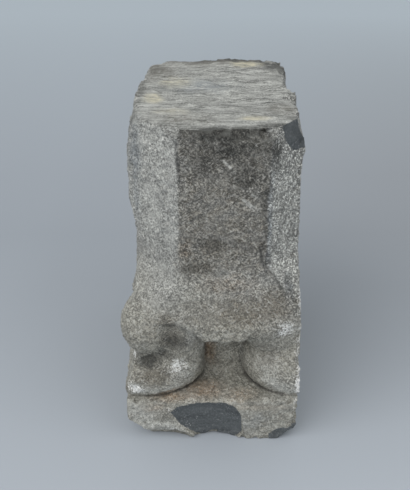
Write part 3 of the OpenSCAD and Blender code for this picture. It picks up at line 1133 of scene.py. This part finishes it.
def split_bed(tree, seen):
    """The split top: light and dark streaks along its beds, with stains, painted shade along the back rim and
    a little lichen.
    """
    fine = blend(tree, seen["streaks"], 0.6, seen["grain"], 0.4)
    bed = paint(tree, spread(tree, fine, 0.41, 0.59), tint(80, 81, 77), tint(214, 214, 208))
    bed = paint(tree, spread(tree, seen["swell"], 0.4, 0.62, 0.0, 0.3), bed, tint(150, 150, 145))
    bed = paint(tree, spread(tree, seen["mottle"], 0.35, 0.65, 0.0, 0.25), bed, tint(146, 147, 143))
    bed = paint(tree, patch(tree, seen, "brown", 0.75), bed, tint(112, 108, 99))
    bed = paint(tree, patch(tree, seen, "cool", 0.4), bed, tint(138, 147, 154))
    bed = paint(tree, patch(tree, seen, "soot_and_shade", 0.85), bed, tint(72, 73, 70))
    streaky = spread(tree, seen["streaks"], 0.38, 0.6, 0.2)
    crusted = maths(tree, "MULTIPLY", patch(tree, seen, "lichen", 0.8), streaky)
    return paint(tree, crusted, bed, tint(214, 206, 178))


def fresh_stone(tree, place, seen):
    """Dark young stone in thin beds, with a fine sparkle, darker where soot lies and where shade is painted,
    as on the top's right front corner chip.
    """
    thin_beds = noise(tree, stretched(tree, place, (0.05, 0.02, 0.006)), 1.0, 3.0, 0.6)
    raw = paint(tree, spread(tree, thin_beds, 0.3, 0.75), tint(66, 70, 72), tint(92, 96, 98))
    raw = paint(tree, spread(tree, seen["salt"], 0.35, 1.0, 0.0, 0.5), raw, tint(128, 132, 133))
    return paint(tree, spread(tree, mark(tree, "soot_and_shade"), 0.0, 1.0, 0.0, 0.6), raw, tint(50, 54, 57))


def white_bruises(tree, seen):
    """How white the crushed stone is, torn into specks by the grain."""
    torn = blend(tree, seen["salt"], 0.75, seen["broken"], 0.35)
    torn = maths(tree, "ADD", maths(tree, "MULTIPLY", mark(tree, "bruise"), 0.7), torn)
    return spread(tree, torn, 0.92, 1.35)


def fine_relief(tree, seen):
    """Bumps too small for the mesh: pick marks, grain, and streaks along the beds."""
    height = maths(tree, "ADD", maths(tree, "MULTIPLY", seen["picks"], 0.6), seen["salt"])
    ridges = maths(tree, "MULTIPLY", mark(tree, "bedded"), maths(tree, "MULTIPLY", seen["streaks"], 1.6))
    height = maths(tree, "ADD", height, ridges)
    return add(tree, "ShaderNodeBump", {"Height": height, "Strength": 0.55, "Distance": 0.0012}).outputs[0]


def stone_material():
    """Dark grey foliated stone with pick marks, earth stains, soot and painted shade, painted highlight on
    the arrises, fresh breaks and a split top.
    """
    material = bpy.data.materials.new("weathered_stone")
    material.use_nodes = True
    tree = material.node_tree
    tree.nodes.clear()
    place = tree.nodes.new("ShaderNodeTexCoord").outputs["Object"]
    seen = stone_patterns(tree, place)

    colour = stained_and_shaded(tree, seen, bare_stone(tree, place, seen))
    colour = pecked(tree, place, seen, colour)
    colour = scored(tree, seen, colour)
    colour = rubbed_and_shaded(tree, seen, colour)
    colour = paint(tree, mark(tree, "split"), colour, split_bed(tree, seen))
    # dark cracks, and painted shade along the right facet's crease
    colour = paint(tree, maths(tree, "MULTIPLY", mark(tree, "crack_and_shade"), 0.9), colour, tint(38, 40, 40))
    fresh = spread(tree, patch(tree, seen, "fresh", 1.0), 0.3, 0.45)
    colour = paint(tree, fresh, colour, fresh_stone(tree, place, seen))
    colour = paint(tree, white_bruises(tree, seen), colour, tint(234, 234, 231))

    rough = spread(tree, seen["grain"], 0.3, 0.7, 0.62, 0.86)
    finish = {"Base Color": colour, "Roughness": rough, "Normal": fine_relief(tree, seen)}
    shader = add(tree, "ShaderNodeBsdfPrincipled", finish)
    shader.inputs["Specular IOR Level"].default_value = 0.35
    out = tree.nodes.new("ShaderNodeOutputMaterial")
    tree.links.new(shader.outputs[0], out.inputs[0])
    return material


def column_base():
    """The one carved block, finished, and in its place."""
    stone = rough_out()
    thin_out(stone)
    weathering_and_painted_shade(stone)
    dress(stone, stone_material())
    stone.data.shade_smooth()
    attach(stone, "root")
    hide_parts(NODE)


# ---------------------------------------------------------------- studio
def paper():
    """Blue-grey backdrop paper with painted light and shade: lighter in front and at the back, a little
    darker in the middle distance and on the right.
    """
    material = bpy.data.materials.new("backdrop_paper")
    material.use_nodes = True
    tree = material.node_tree
    shader = tree.nodes["Principled BSDF"]
    shader.inputs["Roughness"].default_value = 0.9
    shader.inputs["Specular IOR Level"].default_value = 0.1
    place = tree.nodes.new("ShaderNodeTexCoord").outputs["Object"]
    parts = add(tree, "ShaderNodeSeparateXYZ", {0: place}).outputs
    near = spread(tree, parts[1], -0.3, 0.45)
    far = spread(tree, parts[1], 0.8, 3.2)
    beside = spread(tree, parts[0], -0.4, 0.8)
    # lighter in front and at the back, darker between: painted fall of the light
    colour = paint(tree, near, tint(178, 184, 191), tint(158, 164, 171))
    # painted shade on the right
    colour = paint(tree, maths(tree, "MULTIPLY", near, beside), colour, tint(147, 151, 156))
    colour = paint(tree, far, colour, tint(170, 179, 186))
    tree.links.new(colour, shader.inputs["Base Color"])
    return material


def backdrop():
    """A wide sheet of paper on the floor."""
    half = 9.0
    mesh = bpy.data.meshes.new("floor")
    corners = [(-half, -half, 0), (half, -half, 0), (half, half, 0), (-half, half, 0)]
    mesh.from_pydata(corners, [], [(0, 1, 2, 3)])
    floor = bpy.data.objects.new("floor", mesh)
    bpy.context.scene.collection.objects.link(floor)
    mesh.materials.append(paper())


def soft_light(name, direction, spread_deg, strength):
    """A very wide, soft, distant light that shines along a direction."""
    lamp = bpy.data.lights.new(name, "SUN")
    lamp.angle = radians(spread_deg)
    lamp.energy = strength
    light = bpy.data.objects.new(name, lamp)
    bpy.context.scene.collection.objects.link(light)
    light.rotation_euler = Vector(direction).to_track_quat("-Z", "Y").to_euler()


def studio():
    """Soft even light from all round, a broad key from the left and a weaker fill from the right."""
    world = bpy.data.worlds.new("studio")
    bpy.context.scene.world = world
    world.use_nodes = True
    sky = world.node_tree.nodes["Background"]
    sky.inputs[0].default_value = (0.95, 0.98, 1.0, 1)
    sky.inputs[1].default_value = 0.62
    soft_light("key", (0.66, 0.55, -0.7), 55, 1.5)
    soft_light("fill", (-0.85, 0.5, -0.55), 60, 0.62)


def camera():
    """Looks down on the front from a little left of the middle."""
    lens = bpy.data.cameras.new("camera")
    lens.sensor_width = 36
    lens.lens = 51.12
    eye = bpy.data.objects.new("camera", lens)
    eye.location = (-0.007, -0.9435, 0.7122)
    eye.rotation_euler = (radians(62), 0, 0)
    bpy.context.scene.collection.objects.link(eye)
    bpy.context.scene.camera = eye


camera()
studio()
backdrop()
column_base()
bpy.context.scene.view_settings.view_transform = "Standard"
